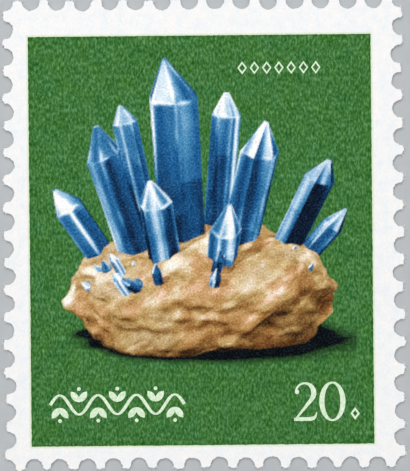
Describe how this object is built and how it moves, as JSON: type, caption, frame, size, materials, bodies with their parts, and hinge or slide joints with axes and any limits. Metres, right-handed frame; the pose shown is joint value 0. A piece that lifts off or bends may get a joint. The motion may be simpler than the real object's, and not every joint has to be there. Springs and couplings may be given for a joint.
{
  "type": "postage stamp",
  "caption": "Small upright rectangle of gummed paper with perforated, torn-toothed edges and a printed face in a white margin, stuck on mail to show that postage is paid.",
  "frame": {"origin": "middle of the gummed back, on the surface that the stamp lies on", "axes": "+X across the stamp to its right, +Y up the design to its top edge, +Z out of the printed face"},
  "size_m": [0.021, 0.0246, 0.0001],
  "materials": {
    "stamp_paper": "coated white paper, printed in matt ink on the face and gummed on the back"
  },
  "bodies": {
    "root": {"stamp": "stamp_paper"}
  },
  "joints": []
}
